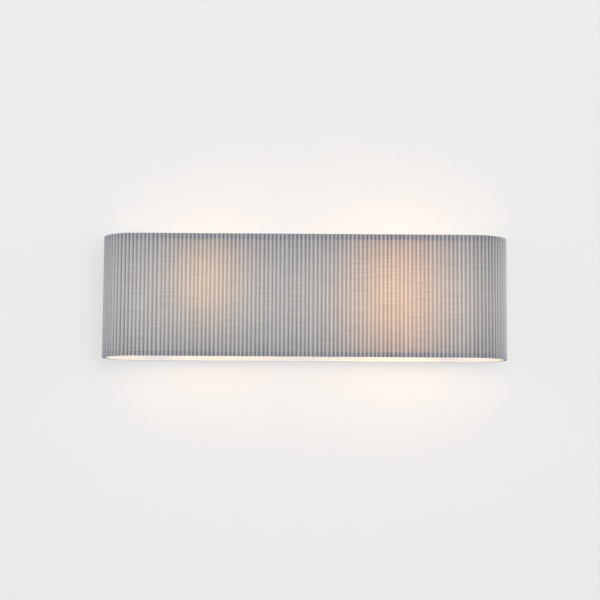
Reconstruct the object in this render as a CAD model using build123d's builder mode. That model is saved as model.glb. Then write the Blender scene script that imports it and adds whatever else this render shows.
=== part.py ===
"""Wall light: a long pleated fabric shade with rounded ends, standing off the wall on a steel back pan.

Millimetres. +X runs along the light, +Y points into the wall and +Z is up. The origin is on the wall, at the
middle of the wall bracket. Depths are counted from the wall towards the room, which is along -Y.
"""

import math
import os

from build123d import *

os.makedirs("parts", exist_ok=True)

# ---------------------------------------------------------------- Shade
SHADE_WIDTH = 500.0
SHADE_HEIGHT = 150.0
SHADE_DEPTH = 88.0
STAND_OFF = 3.0  # from the wall to the back of the shade
PLEAT_PITCH = 5.0
PLEAT_DEPTH = 3.2
FABRIC_THICKNESS = 0.35
GLUE_GAP = 0.1
LINER_THICKNESS = 0.5
RING_HEIGHT = 7.0
RING_THICKNESS = 2.0
TAPE_THICKNESS = 0.3
SEAM_TAPE_WIDTH = 10.0
SEAM_TAPE_OFFSET = 12.0  # from the upright to the middle of the seam tape
FRAME_STRIP = 2.0  # thickness of the uprights and of the bars
TOUCH_GAP = 0.05  # left between pieces of one body that are pushed or glued together
MOVING_GAP = 0.3  # left between pieces that come apart when the shade is taken off
CUT_SPARE = 1.0  # how far a cut runs past the face it goes through

# ---------------------------------------------------------------- Window in the shade's back
WINDOW_SIDE_MARGIN = 5.0  # from the pan's end to the window's side
WINDOW_TOP_MARGIN = 14.0  # from the pan's top to the window's top
WINDOW_TRIM = 0.8  # wall of the window frame
WINDOW_FLANGE = 6.0

# ---------------------------------------------------------------- Back pan
PAN_WIDTH = 320.0
PAN_HEIGHT = 80.0
PAN_DEPTH = 32.0
PAN_SHEET = 1.2
PAN_CORNER = 8.0
PAN_EDGE = 2.0

# ---------------------------------------------------------------- Wall bracket
BRACKET_LENGTH = 308.0
BRACKET_HEIGHT = 26.0
BRACKET_SHEET = 2.0
WALL_SLOT_SPACING = 220.0
WALL_SLOT_LENGTH = 12.0
WALL_SLOT_WIDTH = 5.0
CABLE_HOLE_X = 60.0
CABLE_BORE = 8.0
CABLE_BUSH_WALL = 3.0
CABLE_BUSH_LIP = 3.0
CABLE_FLANGE_THICKNESS = 2.0

# ---------------------------------------------------------------- Metric screws and nuts
M4 = 4.0
M4_FIT = 0.05  # radial clearance round an M4 thread
M4_FLATS = 7.0
NUT_HEIGHT = 3.2
STUD_SPACING = 296.0
STUD_COLLAR = 7.0
STUD_COLLAR_THICKNESS = 1.0
STUD_END = 5.0  # how far a stud stands out of the pan's front
CAP_NUT_HEIGHT = 7.0
CAP_NUT_DOME = 6.2
CAP_NUT_ROUND = 3.0

# ---------------------------------------------------------------- Thumb screws that hold the shade
THUMB_SPACING = 150.0
THUMB_DEPTH = 25.0
THUMB_HEAD = 12.0
THUMB_HEAD_HEIGHT = 6.0
THUMB_NECK = 8.0
THUMB_NECK_HEIGHT = 1.5
CLINCH_NUT = 8.0
CLINCH_NUT_HEIGHT = 3.8
CLINCH_PILOT = 5.8
SLOT_CLEARANCE = 0.3
SLOT_MOUTH_ROUND = 1.0
SCREW_PAST_NUT = 1.0
FRAME_BACK_CLEARANCE = 2.0  # from the liner to the back edge of the bars

# ---------------------------------------------------------------- Lamps
LAMP_SPACING = 230.0  # between the middles of the two globes
LAMP_BACK_SHARE = 0.4  # of the depth left free by the globes, between the pan and them
GLOBE = 45.0
GLASS_THICKNESS = 0.8
BULB_LENGTH = 78.0
NECK_FIT = 0.1  # round the glass neck, inside the cap's rim
GLASS_LENGTH = 53.5
NECK_LENGTH = 4.5  # the straight part of the glass, inside the cap's rim
GLOBE_SWEEP = 125.0  # degrees of the globe's arc, from its tip to its neck
CAP_RIM_STEP = 1.37  # how far the rim stands out from the thread
CAP_RIM_LENGTH = 4.0
CAP_THREAD = 13.86
CAP_SHEET = 0.6
CAP_LENGTH = 22.0  # rim and thread
TIP = 5.0
TIP_LENGTH = 2.5
TIP_EDGE = 1.0
TIP_GAP = 0.1
INSULATOR_LIP = 1.0  # round the tip, and inside the cap

# ---------------------------------------------------------------- Lampholders
SHELL_FIT = 0.07  # round the cap's thread
SHELL_SHEET = 0.5
SHELL_LENGTH = 18.1
RIM_TO_SHELL = 1.0
INSULATOR_TO_WEB = 1.0  # how far the web stands off the insulator
MOUTH_FIT = 0.9  # round the cap's rim
MOUTH_WALL = 4.3
HOLDER_MOUTH_DEPTH = 4.0
HOLDER_EDGE = 1.0
HOLDER_WEB = 3.0
HOLDER_BASE_LENGTH = 12.0
HOLDER_BASE_END = 19.0
HOLDER_WALL = 2.0
CONTACT = 4.8
CONTACT_HOLE = 6.0
CONTACT_SHEET = 0.8
NEUTRAL_STRIP = 3.0

# ---------------------------------------------------------------- Lamp brackets
ARM_SHEET = 1.5
ARM_HEIGHT = 24.0
ARM_REACH = 14.0  # past the lamps' axis
FOOT_LENGTH = 24.0
FOOT_RIVET_X = 8.0  # from the foot's end
FOOT_RIVET_SPACING = 13.0
RIVET = 3.2
RIVET_HEAD = 6.0
RIVET_HEAD_HEIGHT = 1.0
RIVET_TAIL = 4.8
NIPPLE = 9.9
NIPPLE_LEAD_FIT = 0.03  # round the four leads
NIPPLE_BACK = 8.5  # past the arm's inner face
NIPPLE_FRONT = 6.0  # past the arm's outer face
NIPPLE_NUT_FLATS = 14.0
NIPPLE_NUT_HEIGHT = 3.0

# ---------------------------------------------------------------- Wiring
LEAD = 2.2
LEAD_GAP = 0.3  # between two leads side by side
LEAD_FIT = 0.15  # round a lead in its terminal, and round the pair in the bush
LEAD_START_BEND = 10.0
LEAD_END_BEND = 16.0
LEAD_BUSH_WALL = 3.0
LEAD_BUSH_LIP = 2.0
LEAD_BUSH_FLANGE_THICKNESS = 1.5
LEAD_BUSH_TAIL = 2.0
BLOCK_HEIGHT = 16.0
BLOCK_TOP = -20.0
BLOCK_PITCH = 6.0
BLOCK_DEPTH = 20.0  # from the wall to the axis of its wire holes
BARREL_WALL = 1.7
INSERT_WALL = 0.65
BLOCK_SCREW = 2.8
BLOCK_SCREW_SINK = 0.6
INSERT_SINK = 1.0  # at each end of the block
LEAD_TUCK = 4.0  # length of a lead inside its terminal
EARTH_X = -44.0
EARTH_Z = -5.0
EARTH_STUD_BASE = 7.0
EARTH_STUD_BASE_THICKNESS = 0.8
EARTH_STUD_LENGTH = 12.0
EARTH_LEAD_DEPTH = 27.0
EARTH_LEAD_BEND = 14.0
TAG = 8.0
TAG_SHEET = 0.5
TAG_TAIL = 3.0

# ---------------------------------------------------------------- Worked out from the sizes above
END_RADIUS = SHADE_DEPTH / 2
STRAIGHT = SHADE_WIDTH - SHADE_DEPTH
PERIMETER = 2 * STRAIGHT + 2 * math.pi * END_RADIUS
PLEAT_COUNT = round(PERIMETER / PLEAT_PITCH)
FOLD_SLOPE = math.atan2(PLEAT_DEPTH, PLEAT_PITCH / 2)
FOLD_SKIN = FABRIC_THICKNESS / math.cos(FOLD_SLOPE)  # cloth thickness measured square to the shade
LINER_INSET = PLEAT_DEPTH + FOLD_SKIN + GLUE_GAP
RING_INSET = LINER_INSET + LINER_THICKNESS + TOUCH_GAP
TAPE_INSET = RING_INSET + RING_THICKNESS
LINER_BACK = STAND_OFF + LINER_INSET + LINER_THICKNESS  # depth of the liner's inner face at the back
BODY_HALF_HEIGHT = SHADE_HEIGHT / 2 - TAPE_THICKNESS
RING_INNER_Z = BODY_HALF_HEIGHT - RING_HEIGHT
SHADE_PLANE = Plane((0, -STAND_OFF - END_RADIUS, 0))

WINDOW_WIDTH = PAN_WIDTH + 2 * WINDOW_SIDE_MARGIN
WINDOW_HEIGHT = PAN_HEIGHT + 2 * WINDOW_TOP_MARGIN
WINDOW_FRAME_BACK = STAND_OFF + TOUCH_GAP
WINDOW_FRAME_FRONT = LINER_BACK + TOUCH_GAP + WINDOW_TRIM
UPRIGHT_X = WINDOW_WIDTH / 2 + FRAME_STRIP
BAR_BACK = LINER_BACK + FRAME_BACK_CLEARANCE
BAR_FRONT = PAN_DEPTH - TOUCH_GAP
BAR_HALF_LENGTH = UPRIGHT_X
BAR_Z = PAN_HEIGHT / 2 + MOVING_GAP
THREAD_HOLE = M4 + 2 * M4_FIT
CABLE_HOLE = CABLE_BORE + 2 * CABLE_BUSH_WALL
CABLE_FLANGE = CABLE_HOLE + 2 * CABLE_BUSH_LIP

LEAD_PITCH = LEAD + LEAD_GAP
LEAD_OFFSET = LEAD_PITCH / 2
INSERT_BORE = LEAD + 2 * LEAD_FIT
INSERT = INSERT_BORE + 2 * INSERT_WALL
BLOCK_BARREL = INSERT + 2 * BARREL_WALL
LEAD_BUSH_BORE = 2 * (math.hypot(BLOCK_PITCH / 2, LEAD_OFFSET) + LEAD / 2 + LEAD_FIT)
LEAD_BUSH_HOLE = LEAD_BUSH_BORE + 2 * LEAD_BUSH_WALL
LEAD_BUSH_FLANGE = LEAD_BUSH_HOLE + 2 * LEAD_BUSH_LIP
NIPPLE_BORE = math.hypot(LEAD_PITCH, LEAD_PITCH) + LEAD + 2 * NIPPLE_LEAD_FIT

CAP_RIM = CAP_THREAD + 2 * CAP_RIM_STEP
GLASS_NECK = CAP_RIM - 2 * (CAP_SHEET + NECK_FIT)
SHELL_BORE = CAP_THREAD + 2 * SHELL_FIT
HOLDER_MOUTH = CAP_RIM + 2 * MOUTH_FIT
HOLDER = HOLDER_MOUTH + 2 * MOUTH_WALL

LINER_FRONT = STAND_OFF + SHADE_DEPTH - LINER_INSET - LINER_THICKNESS
LAMP_DEPTH = PAN_DEPTH + LAMP_BACK_SHARE * (LINER_FRONT - PAN_DEPTH - GLOBE) + GLOBE / 2
LAMP_X = LAMP_SPACING / 2
LAMP_AXIS = Axis((0, -LAMP_DEPTH, 0), (1, 0, 0))
# Places along a lamp's axis, from the middle of its globe, positive away from the middle of the light.
GLASS_END = GLOBE / 2 - GLASS_LENGTH
RIM_END = GLASS_END - TOUCH_GAP
RIM_START = RIM_END + CAP_RIM_LENGTH
CAP_END = RIM_START - CAP_LENGTH
TIP_END = GLOBE / 2 - BULB_LENGTH
INSULATOR_END = TIP_END + TIP_LENGTH
SHELL_FRONT = RIM_END - RIM_TO_SHELL
SHELL_BACK = SHELL_FRONT - SHELL_LENGTH
WEB_FRONT = INSULATOR_END - INSULATOR_TO_WEB
WEB_BACK = WEB_FRONT - HOLDER_WEB
SKIRT_FRONT = SHELL_FRONT + HOLDER_MOUTH_DEPTH
ARM_FACE = WEB_BACK - HOLDER_BASE_LENGTH
ARM_X = LAMP_X + ARM_FACE  # the arm's outer face, from the middle of the light
FRONT_DEPTH = PAN_DEPTH - PAN_SHEET  # depth of the pan's inner face
SIDES = (("left", -1), ("right", 1))


def save(builder, name):
    """Labels a finished piece and writes its file."""
    builder.part.label = name
    export_step(builder.part, f"parts/{name}.step")


def facing_room(depth):
    """The plane at a depth from the wall that looks into the room, its y upwards."""
    return Plane.XZ.offset(depth)


def lamp_plane(side):
    """The upright plane through a lamp's axis: x runs outwards from the middle of its globe, y upwards."""
    return Plane((side * LAMP_X, -LAMP_DEPTH, 0), x_dir=(side, 0, 0), z_dir=(0, -side, 0))


def stadium(inset):
    """The shade's outline with straight sides and round ends, moved inwards, in the sketch being drawn."""
    return SlotOverall(SHADE_WIDTH - 2 * inset, SHADE_DEPTH - 2 * inset)


def stadium_ring(outer_inset, inner_inset):
    """The band between two such outlines, in the sketch being drawn."""
    stadium(outer_inset)
    SlotOverall(SHADE_WIDTH - 2 * inner_inset, SHADE_DEPTH - 2 * inner_inset, mode=Mode.SUBTRACT)


def fold_point(travel, inset):
    """A point inset from the shade's outline, found by its travel along it from the middle of the back."""
    radius = END_RADIUS - inset
    arc = math.pi * END_RADIUS
    half_straight = STRAIGHT / 2
    if travel <= half_straight:
        return (travel, radius)
    travel -= half_straight
    if travel <= arc:
        angle = math.pi / 2 - travel / END_RADIUS
        return (half_straight + radius * math.cos(angle), radius * math.sin(angle))
    travel -= arc
    if travel <= STRAIGHT:
        return (half_straight - travel, -radius)
    travel -= STRAIGHT
    if travel <= arc:
        angle = -math.pi / 2 - travel / END_RADIUS
        return (-half_straight + radius * math.cos(angle), radius * math.sin(angle))
    return (travel - arc - half_straight, radius)


def fold_line(inset):
    """The folded cloth's line round the shade, ridge and valley in turn."""
    points = []
    for step in range(2 * PLEAT_COUNT):
        travel = step * PERIMETER / (2 * PLEAT_COUNT)
        depth = inset + (PLEAT_DEPTH if step % 2 else 0)
        points.append(fold_point(travel, depth))
    return points


def ring_profile(start, end, inner_diameter, outer_diameter):
    """Half the section of a ring on a lamp's axis, in the sketch being drawn on lamp_plane."""
    middle = ((start + end) / 2, (inner_diameter + outer_diameter) / 4)
    with Locations(middle):
        Rectangle(abs(end - start), (outer_diameter - inner_diameter) / 2)


def turned_outline(points):
    """A closed outline on lamp_plane, in the sketch being drawn, to be turned about the lamp's axis."""
    with BuildLine() as outline:
        Polyline(*points, close=True)
    make_face(outline.edges())


# ================================================================ The shade

# The cloth, folded into narrow pleats that run right round the shade and stop at the window in its back.
with BuildPart() as pleated_fabric:
    with BuildSketch(SHADE_PLANE):
        with BuildLine():
            Polyline(*fold_line(0), close=True)
        make_face()
        with BuildLine():
            Polyline(*fold_line(FOLD_SKIN), close=True)
        make_face(mode=Mode.SUBTRACT)
    extrude(amount=SHADE_HEIGHT / 2, both=True)
    with BuildSketch(facing_room(0)):
        Rectangle(WINDOW_WIDTH, WINDOW_HEIGHT)
    extrude(amount=LINER_BACK + CUT_SPARE, mode=Mode.SUBTRACT)
save(pleated_fabric, "pleated_fabric")

# The stiff white lining that the cloth is glued to.
with BuildPart() as shade_liner:
    with BuildSketch(SHADE_PLANE):
        stadium_ring(LINER_INSET, LINER_INSET + LINER_THICKNESS)
    extrude(amount=BODY_HALF_HEIGHT, both=True)
    with BuildSketch(facing_room(0)):
        Rectangle(WINDOW_WIDTH, WINDOW_HEIGHT)
    extrude(amount=LINER_BACK + CUT_SPARE, mode=Mode.SUBTRACT)
save(shade_liner, "shade_liner")

# Flat steel rings that keep the shade's shape, at the top and at the bottom, with tape folded over each.
for end_name, end in (("bottom", -1), ("top", 1)):
    with BuildPart() as shade_ring:
        with BuildSketch(SHADE_PLANE.offset(end * RING_INNER_Z)):
            stadium_ring(RING_INSET, TAPE_INSET)
        extrude(amount=end * RING_HEIGHT)
    save(shade_ring, f"{end_name}_ring")

    with BuildPart() as hem_tape:
        with BuildSketch(SHADE_PLANE.offset(end * RING_INNER_Z)):
            stadium_ring(TAPE_INSET, TAPE_INSET + TAPE_THICKNESS)
        extrude(amount=end * RING_HEIGHT)
        with BuildSketch(SHADE_PLANE.offset(end * BODY_HALF_HEIGHT)):
            stadium_ring(LINER_INSET, TAPE_INSET + TAPE_THICKNESS)
        extrude(amount=end * TAPE_THICKNESS)
    save(hem_tape, f"hem_tape_{end_name}")

# The strip that joins the lining's two ends, behind and beside the right upright.
with BuildPart() as liner_seam_tape:
    with BuildSketch(facing_room(LINER_BACK + TOUCH_GAP)):
        with Locations((UPRIGHT_X + SEAM_TAPE_OFFSET, 0)):
            Rectangle(SEAM_TAPE_WIDTH, 2 * (RING_INNER_Z - TOUCH_GAP))
    extrude(amount=TAPE_THICKNESS)
save(liner_seam_tape, "liner_seam_tape")

# A white frame of L section that edges the window: a lip through cloth and lining, and a flange inside.
with BuildPart() as window_frame:
    with BuildSketch(facing_room(WINDOW_FRAME_BACK)):
        Rectangle(WINDOW_WIDTH - 2 * TOUCH_GAP, WINDOW_HEIGHT - 2 * TOUCH_GAP)
    extrude(amount=WINDOW_FRAME_FRONT - WINDOW_FRAME_BACK)
    with BuildSketch(facing_room(WINDOW_FRAME_FRONT - WINDOW_TRIM)):
        flange_size = (WINDOW_WIDTH + 2 * WINDOW_FLANGE, WINDOW_HEIGHT + 2 * WINDOW_FLANGE)
        RectangleRounded(*flange_size, radius=WINDOW_FLANGE / 2)
    extrude(amount=WINDOW_TRIM)
    with BuildSketch(facing_room(WINDOW_FRAME_BACK)):
        Rectangle(WINDOW_WIDTH - 2 * WINDOW_TRIM, WINDOW_HEIGHT - 2 * WINDOW_TRIM)
    extrude(amount=WINDOW_FRAME_FRONT, mode=Mode.SUBTRACT)
save(window_frame, "window_frame")

# Flat steel uprights on edge between the two rings, one each side of the window.
for side_name, side in SIDES:
    with BuildPart() as upright:
        upright_back = WINDOW_FRAME_FRONT + TOUCH_GAP
        with BuildSketch(Plane((side * UPRIGHT_X, 0, 0), x_dir=(0, -1, 0), z_dir=(side, 0, 0))):
            with Locations(((upright_back + BAR_FRONT) / 2, 0)):
                Rectangle(BAR_FRONT - upright_back, 2 * RING_INNER_Z)
        extrude(amount=FRAME_STRIP)
    save(upright, f"upright_{side_name}")

# The carrier bar lies on the pan and is held by the thumb screws. Its slots are open to the back, so the
# shade comes forward as soon as the screws are loose.
with BuildPart() as carrier_bar:
    bar_middle = -(BAR_BACK + BAR_FRONT) / 2
    slot_width = M4 + 2 * SLOT_CLEARANCE
    slot_depth = THUMB_DEPTH - BAR_BACK + CUT_SPARE
    with BuildSketch(Plane.XY.offset(BAR_Z)):
        with Locations((0, bar_middle)):
            Rectangle(2 * BAR_HALF_LENGTH, BAR_FRONT - BAR_BACK)
        with Locations((-THUMB_SPACING / 2, -THUMB_DEPTH), (THUMB_SPACING / 2, -THUMB_DEPTH)):
            Circle(slot_width / 2, mode=Mode.SUBTRACT)
            Rectangle(slot_width, slot_depth, align=(Align.CENTER, Align.MIN), mode=Mode.SUBTRACT)
    extrude(amount=FRAME_STRIP)
    slot_mouths = carrier_bar.edges().filter_by(Axis.Z).group_by(Axis.Y)[-1].sort_by(Axis.X)[1:-1]
    fillet(slot_mouths, radius=SLOT_MOUTH_ROUND)
save(carrier_bar, "carrier_bar")

# The lower bar passes under the pan and keeps the shade from lifting.
with BuildPart() as lower_bar:
    with BuildSketch(Plane.XY.offset(-BAR_Z)):
        with Locations((0, bar_middle)):
            Rectangle(2 * BAR_HALF_LENGTH, BAR_FRONT - BAR_BACK)
    extrude(amount=-FRAME_STRIP)
save(lower_bar, "lower_bar")

# ================================================================ The wall fixture

# Steel strip screwed flat to the wall, with a fixing slot near each end and a hole for the cable.
with BuildPart() as wall_bracket:
    with BuildSketch(facing_room(0)):
        RectangleRounded(BRACKET_LENGTH, BRACKET_HEIGHT, BRACKET_HEIGHT / 4)
        with Locations((-WALL_SLOT_SPACING / 2, 0), (WALL_SLOT_SPACING / 2, 0)):
            SlotOverall(WALL_SLOT_LENGTH, WALL_SLOT_WIDTH, mode=Mode.SUBTRACT)
        with Locations((CABLE_HOLE_X, 0)):
            Circle(CABLE_HOLE / 2, mode=Mode.SUBTRACT)
        with Locations((-STUD_SPACING / 2, 0), (STUD_SPACING / 2, 0)):
            Circle(THREAD_HOLE / 2, mode=Mode.SUBTRACT)
    extrude(amount=BRACKET_SHEET)
save(wall_bracket, "wall_bracket")

# Two studs pressed into the bracket, long enough to pass through the pan's front.
with BuildPart() as bracket_studs:
    with BuildSketch(facing_room(0)):
        with Locations((-STUD_SPACING / 2, 0), (STUD_SPACING / 2, 0)):
            Circle(M4 / 2)
    extrude(amount=PAN_DEPTH + STUD_END)
    with BuildSketch(facing_room(BRACKET_SHEET)):
        with Locations((-STUD_SPACING / 2, 0), (STUD_SPACING / 2, 0)):
            Circle(STUD_COLLAR / 2)
    extrude(amount=STUD_COLLAR_THICKNESS)
save(bracket_studs, "bracket_studs")

# Rubber bush that lines the cable hole.
with BuildPart() as cable_bush:
    with BuildSketch(facing_room(0)):
        with Locations((CABLE_HOLE_X, 0)):
            Circle(CABLE_HOLE / 2 - TOUCH_GAP)
    extrude(amount=BRACKET_SHEET)
    with BuildSketch(facing_room(BRACKET_SHEET)):
        with Locations((CABLE_HOLE_X, 0)):
            Circle(CABLE_FLANGE / 2)
    extrude(amount=CABLE_FLANGE_THICKNESS)
    bush_rim = cable_bush.edges().filter_by(GeomType.CIRCLE).group_by(Axis.Y)[0]
    chamfer(bush_rim, length=CABLE_FLANGE_THICKNESS / 2)
    with BuildSketch(facing_room(0)):
        with Locations((CABLE_HOLE_X, 0)):
            Circle(CABLE_BORE / 2)
    extrude(amount=BRACKET_SHEET + CABLE_FLANGE_THICKNESS, mode=Mode.SUBTRACT)
save(cable_bush, "cable_bush")

# White steel pan, open at the back, that covers the bracket and the wiring and carries the lamps.
foot_rivets = []
for side_name, side in SIDES:
    foot_rivet_x = side * (ARM_X - FOOT_LENGTH + FOOT_RIVET_X)
    foot_rivets.append((foot_rivet_x, -FOOT_RIVET_SPACING / 2))
    foot_rivets.append((foot_rivet_x, FOOT_RIVET_SPACING / 2))
with BuildPart() as back_pan:
    with BuildSketch(facing_room(0)):
        RectangleRounded(PAN_WIDTH, PAN_HEIGHT, PAN_CORNER)
    extrude(amount=PAN_DEPTH)
    chamfer(back_pan.faces().sort_by(Axis.Y)[0].edges(), length=PAN_EDGE)
    offset(amount=-PAN_SHEET, openings=back_pan.faces().sort_by(Axis.Y)[-1])
    with BuildSketch(facing_room(FRONT_DEPTH - CUT_SPARE)):
        Circle(LEAD_BUSH_HOLE / 2)
        with Locations((-STUD_SPACING / 2, 0), (STUD_SPACING / 2, 0)):
            Circle(THREAD_HOLE / 2 + TOUCH_GAP)
        with Locations(*foot_rivets):
            Circle(RIVET / 2 + TOUCH_GAP)
    extrude(amount=PAN_SHEET + 2 * CUT_SPARE, mode=Mode.SUBTRACT)
    with BuildSketch(Plane.XY.offset(PAN_HEIGHT / 2 - PAN_SHEET - CUT_SPARE)):
        with Locations((-THUMB_SPACING / 2, -THUMB_DEPTH), (THUMB_SPACING / 2, -THUMB_DEPTH)):
            Circle(CLINCH_PILOT / 2 + TOUCH_GAP)
    extrude(amount=PAN_SHEET + 2 * CUT_SPARE, mode=Mode.SUBTRACT)
save(back_pan, "back_pan")

# Domed nuts on the studs, which hold the pan against the wall.
with BuildPart() as cap_nuts:
    nut_places = Locations((-STUD_SPACING / 2, 0), (STUD_SPACING / 2, 0))
    with BuildSketch(facing_room(PAN_DEPTH)):
        with nut_places:
            RegularPolygon(M4_FLATS / 2, 6, major_radius=False)
    extrude(amount=NUT_HEIGHT)
    with BuildSketch(facing_room(PAN_DEPTH + NUT_HEIGHT)):
        with nut_places:
            Circle(CAP_NUT_DOME / 2)
    extrude(amount=CAP_NUT_HEIGHT - NUT_HEIGHT)
    dome_edges = cap_nuts.edges().filter_by(GeomType.CIRCLE).group_by(Axis.Y)[0]
    fillet(dome_edges, radius=CAP_NUT_ROUND)
    with BuildSketch(facing_room(PAN_DEPTH)):
        with nut_places:
            Circle(THREAD_HOLE / 2)
    extrude(amount=STUD_END + TOUCH_GAP, mode=Mode.SUBTRACT)
save(cap_nuts, "cap_nuts")

# Plastic bush in the pan's front, through which the leads come out.
with BuildPart() as lead_bush:
    with BuildSketch(facing_room(FRONT_DEPTH - LEAD_BUSH_TAIL)):
        Circle(LEAD_BUSH_HOLE / 2 - TOUCH_GAP)
    extrude(amount=PAN_SHEET + LEAD_BUSH_TAIL)
    with BuildSketch(facing_room(PAN_DEPTH)):
        Circle(LEAD_BUSH_FLANGE / 2)
    extrude(amount=LEAD_BUSH_FLANGE_THICKNESS)
    bush_rim = lead_bush.edges().filter_by(GeomType.CIRCLE).group_by(Axis.Y)[0]
    chamfer(bush_rim, length=LEAD_BUSH_FLANGE_THICKNESS / 2)
    with BuildSketch(facing_room(FRONT_DEPTH - LEAD_BUSH_TAIL)):
        Circle(LEAD_BUSH_BORE / 2)
    extrude(amount=PAN_SHEET + LEAD_BUSH_TAIL + LEAD_BUSH_FLANGE_THICKNESS, mode=Mode.SUBTRACT)
save(lead_bush, "lead_bush")

# Nuts pressed into the pan's top from inside, which the thumb screws go into.
with BuildPart() as clinch_nuts:
    thumb_places = Locations((-THUMB_SPACING / 2, -THUMB_DEPTH), (THUMB_SPACING / 2, -THUMB_DEPTH))
    with BuildSketch(Plane.XY.offset(PAN_HEIGHT / 2 - PAN_SHEET)):
        with thumb_places:
            Circle(CLINCH_NUT / 2)
    extrude(amount=-CLINCH_NUT_HEIGHT)
    with BuildSketch(Plane.XY.offset(PAN_HEIGHT / 2 - PAN_SHEET)):
        with thumb_places:
            Circle(CLINCH_PILOT / 2)
    extrude(amount=PAN_SHEET - TOUCH_GAP)
    with BuildSketch(Plane.XY.offset(PAN_HEIGHT / 2)):
        with thumb_places:
            Circle(THREAD_HOLE / 2)
    extrude(amount=-PAN_SHEET - CLINCH_NUT_HEIGHT, mode=Mode.SUBTRACT)
save(clinch_nuts, "clinch_nuts")

# Thumb screws: a threaded shank, a neck and a wide head that clamps the carrier bar.
for side_name, side in SIDES:
    head_bottom = BAR_Z + FRAME_STRIP + MOVING_GAP
    shank_bottom = PAN_HEIGHT / 2 - PAN_SHEET - CLINCH_NUT_HEIGHT - SCREW_PAST_NUT
    screw_plane = Plane((side * THUMB_SPACING / 2, -THUMB_DEPTH, 0))
    with BuildPart() as thumb_screw:
        with BuildSketch(screw_plane.offset(shank_bottom)):
            Circle(M4 / 2)
        extrude(amount=head_bottom - shank_bottom)
        with BuildSketch(screw_plane.offset(head_bottom)):
            Circle(THUMB_NECK / 2)
        extrude(amount=THUMB_NECK_HEIGHT)
        with BuildSketch(screw_plane.offset(head_bottom + THUMB_NECK_HEIGHT)):
            Circle(THUMB_HEAD / 2)
        extrude(amount=THUMB_HEAD_HEIGHT - THUMB_NECK_HEIGHT)
    save(thumb_screw, f"thumb_screw_{side_name}")

# ================================================================ Terminal block and earth

LIVE_X = BLOCK_PITCH / 2
NEUTRAL_X = -BLOCK_PITCH / 2
EARTH_WAY_X = NEUTRAL_X - BLOCK_PITCH
BLOCK_MIDDLE_Z = BLOCK_TOP - BLOCK_HEIGHT / 2
BARREL_BACK = BLOCK_DEPTH - BLOCK_BARREL / 2
wire_holes = Locations((EARTH_WAY_X, 0), (NEUTRAL_X, 0), (LIVE_X, 0))

# Three-way terminal block clipped to the pan's inner face: a barrel for each way on a solid foot.
with BuildPart() as terminal_block:
    with BuildSketch(Plane((0, -BLOCK_DEPTH, BLOCK_TOP))):
        with wire_holes:
            Circle(BLOCK_BARREL / 2)
        with Locations((NEUTRAL_X, 0)):
            Rectangle(3 * BLOCK_PITCH, FRONT_DEPTH - BLOCK_DEPTH, align=(Align.CENTER, Align.MAX))
        with wire_holes:
            Circle(INSERT / 2, mode=Mode.SUBTRACT)
    extrude(amount=-BLOCK_HEIGHT)
    with BuildSketch(facing_room(BARREL_BACK)):
        with Locations((NEUTRAL_X, BLOCK_MIDDLE_Z)):
            with GridLocations(BLOCK_PITCH, BLOCK_HEIGHT / 2, 3, 2):
                Circle(BLOCK_SCREW / 2 + TOUCH_GAP)
    extrude(amount=BLOCK_BARREL / 2, mode=Mode.SUBTRACT)
save(terminal_block, "terminal_block")

# Brass tubes that the wires go into.
with BuildPart() as terminal_inserts:
    with BuildSketch(Plane((0, -BLOCK_DEPTH, BLOCK_TOP - INSERT_SINK))):
        with wire_holes:
            Circle(INSERT / 2 - TOUCH_GAP)
            Circle(INSERT_BORE / 2, mode=Mode.SUBTRACT)
    extrude(amount=-BLOCK_HEIGHT + 2 * INSERT_SINK)
save(terminal_inserts, "terminal_inserts")

# Screws that clamp the wires, two for each way, sunk in their barrels.
with BuildPart() as terminal_screws:
    with BuildSketch(facing_room(BARREL_BACK + BLOCK_SCREW_SINK)):
        with Locations((NEUTRAL_X, BLOCK_MIDDLE_Z)):
            with GridLocations(BLOCK_PITCH, BLOCK_HEIGHT / 2, 3, 2):
                Circle(BLOCK_SCREW / 2)
    extrude(amount=(BLOCK_BARREL - INSERT) / 2 - BLOCK_SCREW_SINK - TOUCH_GAP)
save(terminal_screws, "terminal_screws")

# Earth stud welded to the pan's inner face, with its nut and the ring tag on the earth lead.
with BuildPart() as earth_stud:
    with BuildSketch(facing_room(FRONT_DEPTH)):
        with Locations((EARTH_X, EARTH_Z)):
            Circle(EARTH_STUD_BASE / 2)
    extrude(amount=-EARTH_STUD_BASE_THICKNESS)
    with BuildSketch(facing_room(FRONT_DEPTH)):
        with Locations((EARTH_X, EARTH_Z)):
            Circle(M4 / 2)
    extrude(amount=-EARTH_STUD_LENGTH)
save(earth_stud, "earth_stud")

TAG_DEPTH = EARTH_LEAD_DEPTH + LEAD / 2 + TOUCH_GAP  # depth of the tag's face under the lead
with BuildPart() as earth_tag:
    with BuildSketch(facing_room(TAG_DEPTH)):
        with Locations((EARTH_X, EARTH_Z)):
            Circle(TAG / 2)
            Rectangle(TAG, TAG_TAIL, align=(Align.MIN, Align.CENTER))
            Circle(THREAD_HOLE / 2, mode=Mode.SUBTRACT)
    extrude(amount=TAG_SHEET)
save(earth_tag, "earth_tag")

with BuildPart() as earth_nut:
    with BuildSketch(facing_room(TAG_DEPTH)):
        with Locations((EARTH_X, EARTH_Z)):
            RegularPolygon(M4_FLATS / 2, 6, major_radius=False)
            Circle(THREAD_HOLE / 2, mode=Mode.SUBTRACT)
    extrude(amount=-NUT_HEIGHT)
save(earth_nut, "earth_nut")

# ================================================================ Lamps and their holders

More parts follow.
